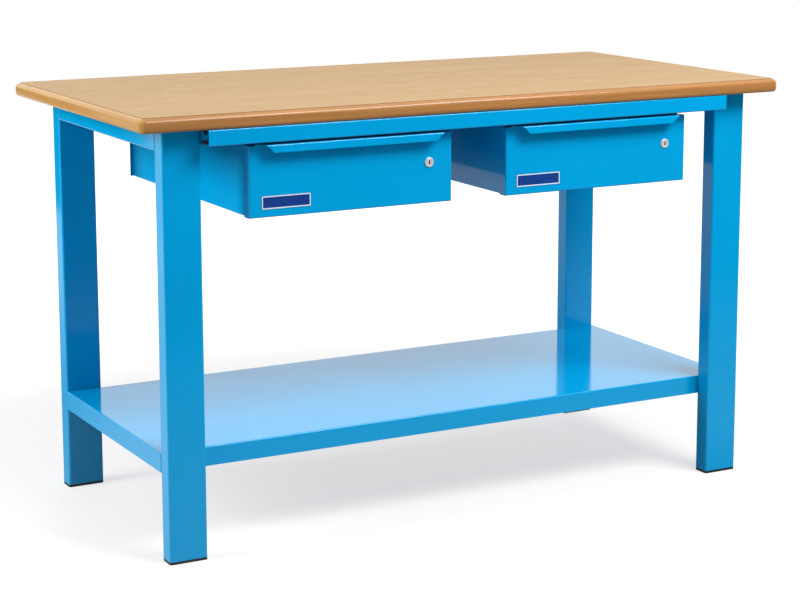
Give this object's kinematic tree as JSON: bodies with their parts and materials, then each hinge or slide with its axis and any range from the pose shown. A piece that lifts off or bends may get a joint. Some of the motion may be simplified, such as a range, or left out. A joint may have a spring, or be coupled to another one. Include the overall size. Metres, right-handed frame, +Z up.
{
  "type": "workbench",
  "caption": "Enamelled steel workbench with a thick wooden top, lockable drawers on ball slides under its front edge and a full-width lower shelf.",
  "frame": {"origin": "on the floor, under the middle of the worktop", "axes": "+X along the bench to the right as seen by the person at it, +Y away from that person, +Z up"},
  "size_m": [1.5, 0.75, 0.895],
  "materials": {
    "worktop_wood": "oiled, smooth",
    "blue_enamel": "glossy stove enamel",
    "foot_plastic": "moulded",
    "zinc_steel": "bright zinc",
    "lock_chrome": "satin chrome",
    "label_plate": "printed plate"
  },
  "bodies": {
    "bench": {"case_bolts": "zinc_steel", "case_nuts": "zinc_steel", "crossbar_screws": "zinc_steel", "front_rail": "blue_enamel", "left_case_back": "blue_enamel", "left_case_strike": "blue_enamel", "left_crossbar": "blue_enamel", "left_drawer_case": "blue_enamel", "left_front_foot": "foot_plastic", "left_front_leg": "blue_enamel", "left_outer_slides": "zinc_steel", "left_rear_foot": "foot_plastic", "left_rear_leg": "blue_enamel", "leg_weld_nuts": "zinc_steel", "lower_shelf": "blue_enamel", "rail_bolts": "zinc_steel", "rail_end_plates": "blue_enamel", "rail_nuts": "zinc_steel", "rail_studs": "zinc_steel", "rear_rail": "blue_enamel", "right_case_back": "blue_enamel", "right_case_strike": "blue_enamel", "right_crossbar": "blue_enamel", "right_drawer_case": "blue_enamel", "right_front_foot": "foot_plastic", "right_front_leg": "blue_enamel", "right_outer_slides": "zinc_steel", "right_rear_foot": "foot_plastic", "right_rear_leg": "blue_enamel", "shelf_nuts": "zinc_steel", "shelf_stiffener_front": "blue_enamel", "shelf_stiffener_rear": "blue_enamel", "shelf_studs": "zinc_steel", "worktop": "worktop_wood"},
    "left_drawer": {"left_inner_slides": "zinc_steel", "left_slide_rivets": "zinc_steel", "left_drawer_box": "blue_enamel", "left_drawer_front": "blue_enamel", "left_label_plate": "label_plate", "left_lock_barrel": "lock_chrome", "left_lock_nut": "zinc_steel"},
    "left_cages": {"left_ball_cages": "zinc_steel"},
    "left_lock": {"left_lock_plug": "lock_chrome", "left_lock_cam": "zinc_steel", "left_cam_screw": "zinc_steel"},
    "right_drawer": {"right_inner_slides": "zinc_steel", "right_slide_rivets": "zinc_steel", "right_drawer_box": "blue_enamel", "right_drawer_front": "blue_enamel", "right_label_plate": "label_plate", "right_lock_barrel": "lock_chrome", "right_lock_nut": "zinc_steel"},
    "right_cages": {"right_ball_cages": "zinc_steel"},
    "right_lock": {"right_lock_plug": "lock_chrome", "right_lock_cam": "zinc_steel", "right_cam_screw": "zinc_steel"}
  },
  "joints": [
    {"name": "left_drawer_slide", "type": "slide", "parent": "bench", "child": "left_drawer", "axis": [0, -1, 0], "range_m": [0, 0.38]},
    {"name": "left_cage_slide", "type": "slide", "parent": "bench", "child": "left_cages", "axis": [0, -1, 0], "range_m": [0, 0.19]},
    {"name": "left_lock_turn", "type": "hinge", "parent": "left_drawer", "child": "left_lock", "pos_m": [-0.1175, -0.348, 0.766], "axis": [0, 1, 0], "range_deg": [0, 90]},
    {"name": "right_drawer_slide", "type": "slide", "parent": "bench", "child": "right_drawer", "axis": [0, -1, 0], "range_m": [0, 0.38]},
    {"name": "right_cage_slide", "type": "slide", "parent": "bench", "child": "right_cages", "axis": [0, -1, 0], "range_m": [0, 0.19]},
    {"name": "right_lock_turn", "type": "hinge", "parent": "right_drawer", "child": "right_lock", "pos_m": [0.4645, -0.348, 0.766], "axis": [0, 1, 0], "range_deg": [0, 90]}
  ],
  "couplings": [
    {"joint": "left_cage_slide", "follows": "left_drawer_slide", "ratio": 0.5},
    {"joint": "right_cage_slide", "follows": "right_drawer_slide", "ratio": 0.5}
  ]
}
